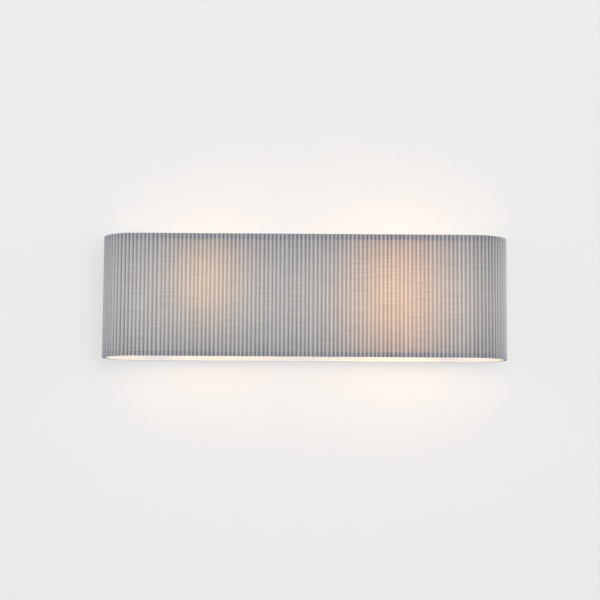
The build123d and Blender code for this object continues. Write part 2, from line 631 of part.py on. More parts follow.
for side_name, side in SIDES:
    axis_plane = lamp_plane(side)
    # L-shaped steel bracket riveted to the pan: a foot along its front and an arm standing out of it.
    with BuildPart() as lamp_bracket:
        arm_inner = side * (ARM_X - ARM_SHEET)
        arm_outer = side * ARM_X
        foot_end = side * (ARM_X - FOOT_LENGTH)
        arm_end = -LAMP_DEPTH - ARM_REACH
        foot_face = -PAN_DEPTH - ARM_SHEET
        with BuildSketch(Plane.XY):
            with BuildLine():
                Polyline(
                    (foot_end, -PAN_DEPTH),
                    (arm_outer, -PAN_DEPTH),
                    (arm_outer, arm_end),
                    (arm_inner, arm_end),
                    (arm_inner, foot_face),
                    (foot_end, foot_face),
                    close=True,
                )
            make_face()
        extrude(amount=ARM_HEIGHT / 2, both=True)
        bend_edges = lamp_bracket.edges().filter_by(Axis.Z)
        inner_bend = bend_edges.sort_by_distance((arm_inner, foot_face, 0))[0]
        fillet(inner_bend, radius=ARM_SHEET)
        bend_edges = lamp_bracket.edges().filter_by(Axis.Z)
        outer_bend = bend_edges.sort_by_distance((arm_outer, -PAN_DEPTH, 0))[0]
        fillet(outer_bend, radius=2 * ARM_SHEET)
        arm_corners = lamp_bracket.edges().filter_by(Axis.X).group_by(Axis.Y)[0]
        fillet(arm_corners, radius=ARM_HEIGHT / 3)
        foot_corners = lamp_bracket.edges().filter_by(Axis.Y).sort_by_distance((foot_end, foot_face, 0))[:2]
        fillet(foot_corners, radius=ARM_HEIGHT / 6)
        with BuildSketch(facing_room(PAN_DEPTH)):
            with Locations(*[place for place in foot_rivets if place[0] * side > 0]):
                Circle(RIVET / 2 + TOUCH_GAP)
        extrude(amount=ARM_SHEET, mode=Mode.SUBTRACT)
        with BuildSketch(Plane((arm_outer, -LAMP_DEPTH, 0), x_dir=(0, 1, 0), z_dir=(-side, 0, 0))):
            Circle(NIPPLE / 2 + TOUCH_GAP)
        extrude(amount=ARM_SHEET, mode=Mode.SUBTRACT)
    save(lamp_bracket, f"lamp_bracket_{side_name}")

    # Threaded tube that holds the lampholder to the arm and lets the leads through, with its nut.
    with BuildPart() as nipple:
        with BuildSketch(axis_plane):
            ring_profile(ARM_FACE - ARM_SHEET - NIPPLE_BACK, ARM_FACE + NIPPLE_FRONT, NIPPLE_BORE, NIPPLE)
        revolve(axis=LAMP_AXIS)
    save(nipple, f"nipple_{side_name}")

    with BuildPart() as nipple_nut:
        nut_face = side * (ARM_X - ARM_SHEET)
        with BuildSketch(Plane((nut_face, -LAMP_DEPTH, 0), x_dir=(0, 1, 0), z_dir=(-side, 0, 0))):
            RegularPolygon(NIPPLE_NUT_FLATS / 2, 6, major_radius=False)
            Circle(NIPPLE / 2 + TOUCH_GAP, mode=Mode.SUBTRACT)
        extrude(amount=NIPPLE_NUT_HEIGHT)
    save(nipple_nut, f"nipple_nut_{side_name}")

    # The lampholder's base: a hollow cup that narrows towards the arm.
    with BuildPart() as lampholder_base:
        with BuildSketch(axis_plane):
            turned_outline(
                (
                    (ARM_FACE, NIPPLE / 2 + TOUCH_GAP),
                    (ARM_FACE, HOLDER_BASE_END / 2),
                    (ARM_FACE + HOLDER_BASE_LENGTH / 2, HOLDER / 2),
                    (WEB_BACK, HOLDER / 2),
                    (WEB_BACK, HOLDER / 2 - HOLDER_WALL),
                    (ARM_FACE + HOLDER_BASE_LENGTH / 2, HOLDER / 2 - HOLDER_WALL),
                    (ARM_FACE + HOLDER_WALL, HOLDER_BASE_END / 2 - HOLDER_WALL),
                    (ARM_FACE + HOLDER_WALL, NIPPLE / 2 + TOUCH_GAP),
                )
            )
        revolve(axis=LAMP_AXIS)
    save(lampholder_base, f"lampholder_base_{side_name}")

    # Its skirt: a web that carries the contacts, a seat for the screw shell and a wider mouth.
    web_plane = Plane((side * (LAMP_X + WEB_BACK), -LAMP_DEPTH, 0), x_dir=(0, 1, 0), z_dir=(side, 0, 0))
    shell_seat = SHELL_BORE / 2 + SHELL_SHEET + TOUCH_GAP
    strip_bottom = TOUCH_GAP - math.sqrt(shell_seat**2 - (NEUTRAL_STRIP / 2) ** 2)
    with BuildPart() as lampholder_skirt:
        with BuildSketch(axis_plane):
            turned_outline(
                (
                    (WEB_BACK, CONTACT_HOLE / 2),
                    (WEB_BACK, HOLDER / 2),
                    (SKIRT_FRONT - HOLDER_EDGE, HOLDER / 2),
                    (SKIRT_FRONT, HOLDER / 2 - HOLDER_EDGE),
                    (SKIRT_FRONT, HOLDER_MOUTH / 2),
                    (SHELL_FRONT, HOLDER_MOUTH / 2),
                    (SHELL_FRONT, shell_seat),
                    (WEB_FRONT, shell_seat),
                    (WEB_FRONT, CONTACT_HOLE / 2),
                )
            )
        revolve(axis=LAMP_AXIS)
        with BuildSketch(web_plane):
            with Locations((0, strip_bottom - TOUCH_GAP)):
                slot_size = (NEUTRAL_STRIP + 2 * TOUCH_GAP, CONTACT_SHEET + TOUCH_GAP)
                Rectangle(*slot_size, align=(Align.CENTER, Align.MIN))
        extrude(amount=HOLDER_WEB, mode=Mode.SUBTRACT)
    save(lampholder_skirt, f"lampholder_skirt_{side_name}")

    # The metal shell that the bulb's cap turns in.
    with BuildPart() as screw_shell:
        with BuildSketch(axis_plane):
            ring_profile(SHELL_BACK, SHELL_FRONT, SHELL_BORE, SHELL_BORE + 2 * SHELL_SHEET)
        revolve(axis=LAMP_AXIS)
    save(screw_shell, f"screw_shell_{side_name}")

    # Two brass contacts: a stud under the bulb's tip, and a strip that leads to the shell.
    with BuildPart() as contacts:
        with BuildSketch(web_plane):
            Circle(CONTACT / 2)
        extrude(amount=TIP_END - TIP_GAP - WEB_BACK)
        with BuildSketch(web_plane):
            Rectangle(CONTACT_HOLE, CONTACT, align=(Align.CENTER, Align.MIN))
        extrude(amount=-CONTACT_SHEET)
        with BuildSketch(web_plane):
            with Locations((0, strip_bottom)):
                Rectangle(NEUTRAL_STRIP, CONTACT_SHEET - TOUCH_GAP, align=(Align.CENTER, Align.MIN))
        extrude(amount=SHELL_BACK - TOUCH_GAP - WEB_BACK)
        with BuildSketch(web_plane):
            with Locations((0, strip_bottom)):
                Rectangle(NEUTRAL_STRIP, -CONTACT_HOLE / 2 - strip_bottom, align=(Align.CENTER, Align.MIN))
        extrude(amount=-CONTACT_SHEET)
    save(contacts, f"contacts_{side_name}")

    # The bulb's frosted glass: a globe that draws in to a neck.
    with BuildPart() as bulb_glass:
        with BuildSketch(axis_plane):
            for radius, neck, mode in (
                (GLOBE / 2, GLASS_NECK / 2, Mode.ADD),
                (GLOBE / 2 - GLASS_THICKNESS, GLASS_NECK / 2 - GLASS_THICKNESS, Mode.SUBTRACT),
            ):
                with BuildLine():
                    globe_arc = CenterArc((0, 0), radius, 0, GLOBE_SWEEP)
                    neck_start = (GLASS_END + NECK_LENGTH, neck)
                    neck_curve = TangentArc(globe_arc @ 1, neck_start, tangent=globe_arc % 1)
                    Polyline(neck_curve @ 1, (GLASS_END, neck), (GLASS_END, 0), globe_arc @ 0)
                make_face(mode=mode)
        revolve(axis=LAMP_AXIS)
    save(bulb_glass, f"bulb_glass_{side_name}")

    # Its metal cap: a rim round the glass neck and the part that screws into the shell.
    with BuildPart() as bulb_cap:
        with BuildSketch(axis_plane):
            turned_outline(
                (
                    (RIM_START, CAP_RIM / 2),
                    (RIM_END, CAP_RIM / 2),
                    (RIM_END - CAP_SHEET, CAP_THREAD / 2),
                    (CAP_END, CAP_THREAD / 2),
                    (CAP_END, CAP_THREAD / 2 - CAP_SHEET),
                    (RIM_END - CAP_SHEET, CAP_THREAD / 2 - CAP_SHEET),
                    (RIM_END, CAP_RIM / 2 - CAP_SHEET),
                    (RIM_START, CAP_RIM / 2 - CAP_SHEET),
                )
            )
        revolve(axis=LAMP_AXIS)
    save(bulb_cap, f"bulb_cap_{side_name}")

    # The black insulator that closes the cap, and the contact at its tip.
    with BuildPart() as bulb_insulator:
        with BuildSketch(axis_plane):
            turned_outline(
                (
                    (CAP_END + INSULATOR_LIP, 0),
                    (CAP_END + INSULATOR_LIP, CAP_THREAD / 2 - CAP_SHEET - TOUCH_GAP),
                    (CAP_END, CAP_THREAD / 2 - CAP_SHEET - TOUCH_GAP),
                    (INSULATOR_END, TIP / 2 + INSULATOR_LIP),
                    (INSULATOR_END, 0),
                )
            )
        revolve(axis=LAMP_AXIS)
    save(bulb_insulator, f"bulb_insulator_{side_name}")

    with BuildPart() as bulb_tip:
        with BuildSketch(axis_plane):
            turned_outline(
                (
                    (INSULATOR_END, 0),
                    (INSULATOR_END, TIP / 2),
                    (TIP_END + TIP_EDGE, TIP / 2),
                    (TIP_END, TIP / 2 - TIP_EDGE),
                    (TIP_END, 0),
                )
            )
        revolve(axis=LAMP_AXIS)
    save(bulb_tip, f"bulb_tip_{side_name}")

# Rivets that hold the lamp brackets, a head in front and a smaller one inside the pan.
with BuildPart() as bracket_rivets:
    with BuildSketch(facing_room(FRONT_DEPTH)):
        with Locations(*foot_rivets):
            Circle(RIVET / 2)
    extrude(amount=PAN_SHEET + ARM_SHEET)
    with BuildSketch(facing_room(PAN_DEPTH + ARM_SHEET)):
        with Locations(*foot_rivets):
            Circle(RIVET_HEAD / 2)
    extrude(amount=RIVET_HEAD_HEIGHT)
    with BuildSketch(facing_room(FRONT_DEPTH)):
        with Locations(*foot_rivets):
            Circle(RIVET_TAIL / 2)
    extrude(amount=-RIVET_HEAD_HEIGHT)
save(bracket_rivets, "bracket_rivets")

# ================================================================ Leads

LEAD_START_Z = BLOCK_TOP - LEAD_TUCK
LEAD_END_X = LAMP_X + WEB_BACK - CONTACT_SHEET - TOUCH_GAP
SUPPLY_Y = -LAMP_DEPTH + LEAD_OFFSET
LINK_Y = -LAMP_DEPTH - LEAD_OFFSET


def lead(points, radii=None):
    """One insulated wire along straight runs joined by round bends, in the part being built."""
    with BuildLine() as route:
        if radii:
            FilletPolyline(*points, radius=radii)
        else:
            Line(*points)
    with BuildSketch(Plane(origin=route.line @ 0, z_dir=route.line % 0)) as section:
        Circle(LEAD / 2)
    sweep(section.sketch, path=route.line)


# Live and neutral from the terminal block, through the bush in the pan's front to the right lampholder.
with BuildPart() as supply_leads:
    for way_x, level in ((LIVE_X, LEAD_OFFSET), (NEUTRAL_X, -LEAD_OFFSET)):
        lead(
            (
                (way_x, -BLOCK_DEPTH, LEAD_START_Z),
                (way_x, -BLOCK_DEPTH, level),
                (way_x, SUPPLY_Y, level),
                (LEAD_END_X, SUPPLY_Y, level),
            ),
            (LEAD_START_BEND, LEAD_END_BEND),
        )
save(supply_leads, "supply_leads")

# Two more from the right lampholder straight across to the left one.
with BuildPart() as link_leads:
    for level in (LEAD_OFFSET, -LEAD_OFFSET):
        lead(((-LEAD_END_X, LINK_Y, level), (LEAD_END_X, LINK_Y, level)))
save(link_leads, "link_leads")

# The earth wire turns along the pan to the earth stud.
with BuildPart() as earth_lead:
    lead(
        (
            (EARTH_WAY_X, -BLOCK_DEPTH, LEAD_START_Z),
            (EARTH_WAY_X, -BLOCK_DEPTH, EARTH_Z),
            (EARTH_X + M4_FLATS, -EARTH_LEAD_DEPTH, EARTH_Z),
        ),
        (EARTH_LEAD_BEND,),
    )
save(earth_lead, "earth_lead")
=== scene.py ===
# %% [markdown]
# # A wall light with a pleated cloth shade
#
# The light is a long box of cloth with rounded ends, folded into some two hundred narrow pleats. It is open
# at the top and the bottom, and two warm globe lamps burn inside. The steel that carries it comes from a
# measured model, which stays as it is. Here the soft pieces are made again in more detail, every surface
# gets its finish, and the whole is lit as on a pale wall.

# %% The frame: the measured model
import math
import random

import bpy
from mathutils import Matrix, Vector


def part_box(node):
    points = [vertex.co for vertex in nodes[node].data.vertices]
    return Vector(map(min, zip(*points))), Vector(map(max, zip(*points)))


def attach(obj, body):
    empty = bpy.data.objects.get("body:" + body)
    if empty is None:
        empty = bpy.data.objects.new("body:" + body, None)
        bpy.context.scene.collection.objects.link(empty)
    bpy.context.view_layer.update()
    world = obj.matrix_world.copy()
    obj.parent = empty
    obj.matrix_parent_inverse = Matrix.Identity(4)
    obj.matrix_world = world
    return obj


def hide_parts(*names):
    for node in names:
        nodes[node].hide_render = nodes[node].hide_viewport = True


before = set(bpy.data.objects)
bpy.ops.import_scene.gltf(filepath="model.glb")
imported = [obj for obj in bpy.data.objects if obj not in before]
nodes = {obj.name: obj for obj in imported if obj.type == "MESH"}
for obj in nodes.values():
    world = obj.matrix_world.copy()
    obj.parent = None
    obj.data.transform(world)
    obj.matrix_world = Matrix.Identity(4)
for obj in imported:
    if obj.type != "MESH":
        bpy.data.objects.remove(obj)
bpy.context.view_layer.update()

MM = 0.001
bpy.ops.object.select_all(action="DESELECT")

# %% [markdown]
# ## The camera
#
# The light is seen from the front and a little from below, so that a narrow strip of its lining shows under
# the cloth. A long lens from two metres away keeps the sides almost upright, and a slight roll makes the
# long edges fall a little to the right. The turn is built from a tilt about the camera's side axis and a
# roll about its line of sight, which is easier to read than three Euler angles.

# %% The camera
IMAGE_WIDTH = 600
FOCAL_PIXELS = 1642
SENSOR = 36.0
CAMERA_PLACE = (-6.1 * MM, -2070 * MM, -224 * MM)
CAMERA_TILT = 0.1095
CAMERA_ROLL = 0.0067

tilt = Matrix.Rotation(math.pi / 2 + CAMERA_TILT, 3, "X")
roll = Matrix.Rotation(CAMERA_ROLL, 3, "Z")
bpy.ops.object.camera_add(location=CAMERA_PLACE, rotation=(tilt @ roll).to_euler())
camera = bpy.context.object
camera.name = "photo_camera"
camera.data.sensor_width = SENSOR
camera.data.lens = FOCAL_PIXELS * SENSOR / IMAGE_WIDTH
bpy.context.scene.camera = camera
bpy.context.scene.view_settings.view_transform = "Standard"
print("lens", round(camera.data.lens, 1), "mm")

# %% [markdown]
# ## Writing materials
#
# A material is a few nodes wired together, and a few helpers keep the wiring readable. The first cell adds
# nodes, sets or wires their inputs, and starts a material with its main shader. A number that is the same
# all over the surface is set on the shader itself, and only what changes from place to place gets nodes.

# %% Nodes and wires
def add_node(material, kind, **settings):
    """A new node, its inputs set by name and its properties set where an input of that name is missing."""
    node = material.node_tree.nodes.new(kind)
    for key, value in settings.items():
        if key in node.inputs.keys():
            node.inputs[key].default_value = value
        else:
            setattr(node, key, value)
    return node


def wire(material, source, target):
    material.node_tree.links.new(source, target)


def feed(material, value, target):
    """Wires another node's socket to the target, or sets the target to a number or a tuple."""
    if isinstance(value, bpy.types.NodeSocket):
        wire(material, value, target)
    else:
        target.default_value = value


def new_material(name, colour, roughness, metallic=0.0):
    """A material with its principled shader, ready for detail."""
    material = bpy.data.materials.new(name)
    material.use_nodes = True
    shader = material.node_tree.nodes["Principled BSDF"]
    shader.inputs["Base Color"].default_value = (*colour, 1)
    shader.inputs["Roughness"].default_value = roughness
    shader.inputs["Metallic"].default_value = metallic
    return material, shader


# %% [markdown]
# The second cell does sums on values and vectors. A sum in nodes reads from the inside out, like a formula.

# %% Sums and ranges
NOISE_RANGE = (0.3, 0.7)  # where nearly all of a noise texture's values lie
MIX_COLOUR_A, MIX_COLOUR_B, MIX_COLOUR_RESULT = 6, 7, 2  # the colour sockets of a Mix node


def arithmetic(material, operation, *values):
    """One math node. Each value is a number or a socket."""
    node = add_node(material, "ShaderNodeMath", operation=operation)
    for value, target in zip(values, node.inputs):
        feed(material, value, target)
    return node.outputs[0]


def squared(material, value):
    return arithmetic(material, "MULTIPLY", value, value)


def combined(material, operation, first, second):
    """One vector node. To scale, the second is a value, otherwise both are tuples or sockets of vectors."""
    node = add_node(material, "ShaderNodeVectorMath", operation=operation)
    feed(material, first, node.inputs[0])
    feed(material, second, node.inputs["Scale"] if operation == "SCALE" else node.inputs[1])
    return node.outputs[0]


def map_range(material, value, before, after, shape="LINEAR"):
    """The value, carried from one range to another and held inside it."""
    node = add_node(material, "ShaderNodeMapRange", interpolation_type=shape)
    for name, number in zip(("From Min", "From Max", "To Min", "To Max"), (*before, *after)):
        node.inputs[name].default_value = number
    wire(material, value, node.inputs["Value"])
    return node.outputs["Result"]


def soft_step(material, value, start, end, low, high=1.0):
    """Runs smoothly from low at the start to high at the end."""
    return map_range(material, value, (start, end), (low, high), "SMOOTHSTEP")


def spread(material, noise, low, high):
    """Noise, which lies about a half, spread to run from low to high."""
    return map_range(material, noise, NOISE_RANGE, (low, high))


def two_tone(material, value, dark, light):
    """A colour that runs from dark to light as the value does."""
    mix = add_node(material, "ShaderNodeMix", data_type="RGBA")
    mix.inputs[MIX_COLOUR_A].default_value = (*dark, 1)
    mix.inputs[MIX_COLOUR_B].default_value = (*light, 1)
    wire(material, value, mix.inputs["Factor"])
    return mix.outputs[MIX_COLOUR_RESULT]


# %% [markdown]
# The third cell is about places: noise and axes that are fixed to the piece, so that a finish moves with
# it.

# %% Places, noise and relief
def object_axes(material):
    """The object's own coordinates, by the names X, Y and Z."""
    place = add_node(material, "ShaderNodeTexCoord")
    axes = add_node(material, "ShaderNodeSeparateXYZ")
    wire(material, place.outputs["Object"], axes.inputs[0])
    return axes.outputs


def noise_at(material, place, scale, detail, stretch):
    """Noise at a place, in cycles per metre."""
    mapping = add_node(material, "ShaderNodeMapping", Scale=stretch)
    noise = add_node(material, "ShaderNodeTexNoise", Scale=scale, Detail=detail)
    wire(material, place, mapping.inputs["Vector"])
    wire(material, mapping.outputs["Vector"], noise.inputs["Vector"])
    return noise.outputs["Fac"]


def object_noise(material, scale, detail, stretch=(1, 1, 1)):
    """Noise fixed to the piece."""
    place = add_node(material, "ShaderNodeTexCoord")
    return noise_at(material, place.outputs["Object"], scale, detail, stretch)


def bump(material, shader, height, distance):
    """Relief of that height in metres."""
    node = add_node(material, "ShaderNodeBump", Strength=1.0, Distance=distance)
    wire(material, height, node.inputs["Height"])
    wire(material, node.outputs["Normal"], shader.inputs["Normal"])


def shade(colour, factor):
    """A colour made lighter or darker."""
    return tuple(min(1.0, channel * factor) for channel in colour)


# %% [markdown]
# ## The metals and plastics behind the shade
#
# None of these is one flat colour. Powder coat has a fine orange peel, zinc plating is cloudy and slightly
# blue, brass and nickel carry faint drawing marks, and moulded plastic has a satin skin. One function makes
# all of them from a colour, a roughness and the grain of their variation.

# %% Finishes of the hardware
CLOUD_GRAINS = 12  # a cloud of tone is as wide as this many grains
CLOUD_DETAIL, GRAIN_DETAIL = 4.0, 2.0
GLOSS_LEAST, GLOSS_MOST = 0.8, 1.25  # shares of the roughness
SMOOTHEST = 0.04


def hardware_finish(name, colour, roughness, metallic=0.0, grain=900, tone=0.06, relief=0.01 * MM,
                    stretch=(1, 1, 1)):
    """Cloudy colour, uneven gloss and fine relief on one material."""
    material, shader = new_material(name, colour, roughness, metallic)
    clouds = object_noise(material, grain / CLOUD_GRAINS, CLOUD_DETAIL, stretch)
    fine = object_noise(material, grain, GRAIN_DETAIL, stretch)
    cloudy = spread(material, clouds, 0, 1)
    tones = two_tone(material, cloudy, shade(colour, 1 - tone), shade(colour, 1 + tone))
    wire(material, tones, shader.inputs["Base Color"])
    gloss = spread(material, fine, max(SMOOTHEST, roughness * GLOSS_LEAST), min(1.0, roughness * GLOSS_MOST))
    wire(material, gloss, shader.inputs["Roughness"])
    bump(material, shader, fine, relief)
    return material


powder_coat = hardware_finish("powder_coat", (0.80, 0.80, 0.78), 0.42, grain=1400, tone=0.015,
                              relief=0.04 * MM)
zinc = hardware_finish("zinc_plating", (0.55, 0.57, 0.60), 0.34, 1.0, grain=700, tone=0.12)
nickel = hardware_finish("nickel_plating", (0.66, 0.63, 0.58), 0.22, 1.0, grain=800, tone=0.08)
brass = hardware_finish("drawn_brass", (0.72, 0.50, 0.20), 0.30, 1.0, grain=900, tone=0.12, stretch=(1, 6, 6))
holder_plastic = hardware_finish("moulded_holder", (0.82, 0.82, 0.80), 0.28, grain=600, tone=0.02)
clear_nylon = hardware_finish("terminal_nylon", (0.74, 0.76, 0.78), 0.38, grain=500, tone=0.04)
black_rubber = hardware_finish("black_rubber", (0.018, 0.018, 0.019), 0.62, grain=1200, tone=0.2,
                               relief=0.03 * MM)
black_nylon = hardware_finish("black_nylon", (0.022, 0.022, 0.024), 0.42, grain=900, tone=0.15)
white_silicone = hardware_finish("white_silicone", (0.78, 0.78, 0.75), 0.48, grain=900, tone=0.03)
green_silicone = hardware_finish("green_silicone", (0.16, 0.40, 0.05), 0.48, grain=900, tone=0.06)
black_glass = hardware_finish("black_glass", (0.010, 0.010, 0.012), 0.12, grain=500, tone=0.1)
print(len(bpy.data.materials), "materials so far")

# %% [markdown]
# ## The lining and the tape
#
# The lining is stiff white laminate with a faint paper-like tooth. The tape over the steel rings is a
# narrow woven ribbon with soft ribs about three millimetres apart that cross. In a bright room the edges of
# both catch light that comes in at the shade's open ends. It is written down as a little light of their
# own, which grows from nothing at 35 mm above and below the middle to its full strength near the hems.

# %% Light on the edges
EDGE_FROM = 35 * MM
EDGE_TO = 66 * MM
LINING_EDGE = ((0.82, 0.86, 1.0), 0.60)
TAPE_EDGE = ((0.50, 0.70, 1.0), 0.23)


def edge_light(material, shader, colour, strength):
    """Light of the room that reaches the inside near the shade's open ends, none at mid height."""
    distance = arithmetic(material, "ABSOLUTE", object_axes(material)["Z"])
    ramp = soft_step(material, distance, EDGE_FROM, EDGE_TO, 0)
    wire(material, combined(material, "SCALE", colour, ramp), shader.inputs["Emission Color"])
    shader.inputs["Emission Strength"].default_value = strength


# %% The lining
TOOTH_SCALE = 1800
TOOTH_DETAIL = 3.0
lining, lining_shader = new_material("white_lining", (0.86, 0.85, 0.82), 0.55)
lining_tooth = object_noise(lining, TOOTH_SCALE, TOOTH_DETAIL)
lining_tones = two_tone(lining, spread(lining, lining_tooth, 0, 1), (0.84, 0.83, 0.80), (0.88, 0.87, 0.845))
wire(lining, lining_tones, lining_shader.inputs["Base Color"])
bump(lining, lining_shader, lining_tooth, 0.04 * MM)
edge_light(lining, lining_shader, *LINING_EDGE)
print(lining.name, "has", len(lining.node_tree.nodes), "nodes")

# %% The tape
RIB_SCALE = 105.0  # a wave texture of scale s repeats every 2 pi / 20 s metres, here every 3 mm
RIB_WOBBLE = 0.6
tape, tape_shader = new_material("woven_tape", (0.80, 0.78, 0.73), 0.85)
tape_place = add_node(tape, "ShaderNodeTexCoord")
ribs = []
for direction in ("X", "Y", "Z"):
    wave = add_node(tape, "ShaderNodeTexWave", wave_type="BANDS", bands_direction=direction, Scale=RIB_SCALE,
                    Distortion=RIB_WOBBLE)
    wire(tape, tape_place.outputs["Object"], wave.inputs["Vector"])
    ribs.append(wave.outputs["Fac"])
crossing_ribs = arithmetic(tape, "MULTIPLY", arithmetic(tape, "ADD", ribs[0], ribs[1]), ribs[2])
bump(tape, tape_shader, crossing_ribs, 0.12 * MM)
tape_tones = two_tone(tape, crossing_ribs, (0.74, 0.72, 0.67), (0.83, 0.81, 0.76))
wire(tape, tape_tones, tape_shader.inputs["Base Color"])
edge_light(tape, tape_shader, *TAPE_EDGE)
print(tape.name, "has", len(tape.node_tree.nodes), "nodes")

# %% [markdown]
# ## The lamps
#
# Both lamps are lit. Their frosted glass gives off warm light, and that light is what brightens the lining,
# the strip under the shade and the wall above and below. The right lamp is the stronger one. The light is
# the glass's own emission, so nothing has to be hidden inside it.

# %% Lamp glass
LAMP_WARMTH = (1.0, 0.50, 0.06)
LAMP_STRENGTHS = {"left": 10.0, "right": 13.5}
FROST_SCALE = 2500
FROST_DETAIL = 2.0


def lit_glass(name, strength):
    """Frosted glass that shines."""
    material, shader = new_material(name, (0.90, 0.88, 0.84), 0.35)
    shader.inputs["Emission Color"].default_value = (*LAMP_WARMTH, 1)
    shader.inputs["Emission Strength"].default_value = strength
    frost = object_noise(material, FROST_SCALE, FROST_DETAIL)
    bump(material, shader, frost, 0.02 * MM)
    tones = two_tone(material, spread(material, frost, 0, 1), (0.88, 0.86, 0.82), (0.92, 0.90, 0.86))
    wire(material, tones, shader.inputs["Base Color"])
    return material


lamp_glass = {side: lit_glass(f"lamp_glass_{side}", strength) for side, strength in LAMP_STRENGTHS.items()}
print("lamps:", {side: material.name for side, material in lamp_glass.items()})

# %% [markdown]
# ## The pleated cloth's colour
#
# The cloth is a blue-grey linen weave, so it has thick and thin threads. They run round the shade, across
# the pleats, and would break at every fold if they were drawn in space. The cloth therefore carries a map
# of its own, called "cloth": u is the distance along the unfolded cloth and v the height, both in metres,
# and the threads are noise drawn out long on that map.
#
# A second map, called "fold", says how deep each point lies in its pleat and how light the whole pleat is.
# A curve turns the depth into painted light and shade, a painted highlight on the ridge and painted shade
# in the valley. Round the ends the valleys get more painted shade still.

# %% Sizes and tones of the cloth
CLOTH_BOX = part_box("pleated_fabric")
SHADE_TOP = CLOTH_BOX[1].z
SHADE_HALF_LENGTH = CLOTH_BOX[1].x
CLOTH_DARK = (0.304, 0.306, 0.340)
CLOTH_LIGHT = (0.456, 0.456, 0.488)
CLOTH_ROUGHNESS = 0.82
CLOTH_SHEEN = 0.15
SHEEN_ROUGHNESS = 0.5
COOL_TINT = (0.975, 1.0, 1.03)
WARM_TINT = (1.025, 1.0, 0.975)
WEAVE_RELIEF = 0.10 * MM
WEAVE = {
    # kind of thread: scale, stretch along the cloth and up it, detail, share of the weave
    "slubs": (850, (0.020, 1.0, 1.0), 1.0, 0.30),
    "threads": (2600, (0.08, 1.0, 1.0), 2.0, 0.42),
    "warp": (2600, (1.0, 0.08, 1.0), 2.0, 0.28),
}
TINT = (330, (1.0, 0.03, 1.0), 1.0)  # scale, stretch and detail of the slow change of tint
# Painted light and shade of the folds: a painted highlight at the ridge down to painted shade in the valley.
FOLD_SHADE_TONES = ((0.0, 1.66), (0.16, 1.18), (0.55, 0.92), (0.80, 0.60), (1.0, 0.28))  # from ridge to valley
# Painted shade: the deepest folds are drawn darker towards the ends.
END_FOLDS_SHADE = 0.55  # how much darker the deepest folds are at the ends
END_FOLDS_FROM = 200 * MM
print("the shade is", round(2 * SHADE_HALF_LENGTH, 3), "m long and", round(2 * SHADE_TOP, 3), "m high")

# %% Threads and folds
START_POINTS = 2  # a new curve has two


def map_noise(material, scale, stretch, detail):
    """Noise on the cloth's own map."""
    cloth_map = add_node(material, "ShaderNodeUVMap", uv_map="cloth")
    return noise_at(material, cloth_map.outputs["UV"], scale, detail, stretch)


def weave_noise(material):
    """The whole weave, and its thick threads by themselves."""
    kinds = {kind: map_noise(material, scale, stretch, detail)
             for kind, (scale, stretch, detail, _) in WEAVE.items()}
    weave = 0.0
    for kind, noise in kinds.items():
        weave = arithmetic(material, "MULTIPLY_ADD", noise, WEAVE[kind][-1], weave)
    return weave, kinds["slubs"]


def fold_shade_curve(material, depth):
    """The fold's painted light and shade by its depth, as a share of the lightest tone."""
    ramp = add_node(material, "ShaderNodeFloatCurve")
    curve = ramp.mapping.curves[0]
    highest = FOLD_SHADE_TONES[0][1]
    for index, (share, tone) in enumerate(FOLD_SHADE_TONES):
        if index < START_POINTS:
            point = curve.points[index]
            point.location = (share, tone / highest)
        else:
            point = curve.points.new(share, tone / highest)
        point.handle_type = "AUTO_CLAMPED"
    ramp.mapping.update()
    wire(material, depth, ramp.inputs["Value"])
    return ramp.outputs[0]


def painted_fold_shade(material, fold, outwards):
    """The painted light and shade of each place in its fold, with more painted shade in the valleys of the
    ends.
    """
    pleat = arithmetic(material, "MULTIPLY", fold["Y"], FOLD_SHADE_TONES[0][1])
    tone = arithmetic(material, "MULTIPLY", fold_shade_curve(material, fold["X"]), pleat)
    # Painted shade that deepens the valleys towards the ends.
    at_end = soft_step(material, outwards, END_FOLDS_FROM, SHADE_HALF_LENGTH, 0, END_FOLDS_SHADE)
    darker = arithmetic(material, "MULTIPLY", fold["X"], at_end)
    return arithmetic(material, "MULTIPLY", tone, arithmetic(material, "SUBTRACT", 1.0, darker))


# %% [markdown]
# ## The light that comes through the cloth
#
# It could be left to a translucent shader, but two thin layers in front of small lamps need very many
# samples before they look calm. What comes through is smooth, so it is written down instead: a soft warm
# field that fades towards the hems, with a round peak in front of each lamp, fixed to the cloth, as its own
# emission. Where the steel rings stand behind the hems no light comes through, and the cloth looks darker
# and bluer.

# %% Light through the cloth
INNER_LIGHT = (0.140, 0.126, 0.097)
INNER_REACH = 84.1 * MM  # height at which the inner light would be gone, further out than the hems
GLOWS = (
    # place along the light, height, half width, half height, colour
    (-118 * MM, 20 * MM, 38 * MM, 43 * MM, (0.190, 0.088, 0.012)),
    (113 * MM, 0 * MM, 52 * MM, 72 * MM, (0.266, 0.098, 0.000)),
)
HEM_TOP = 6.9 * MM
HEM_BOTTOM = 5.4 * MM
HEM_BLUR = 1.0 * MM
END_DIM = 0.60  # share of the inner light that is left at the ends
END_FROM = 190 * MM
RIDGE_LIGHT = 1.08
VALLEY_LIGHT = 0.88
WEAVE_PASSES = (0.92, 1.08)
SLUBS_PASS = (0.91, 1.09)


def glow_peak(material, across, height, place, level, half_width, half_height):
    """A soft round spot: a half to the power (x^2 / a^2 + z^2 / b^2), which is a half at its half width."""
    x_share = arithmetic(material, "DIVIDE", arithmetic(material, "SUBTRACT", across, place), half_width)
    z_share = arithmetic(material, "DIVIDE", arithmetic(material, "SUBTRACT", height, level), half_height)
    distance = arithmetic(material, "ADD", squared(material, x_share), squared(material, z_share))
    return arithmetic(material, "POWER", 0.5, distance)


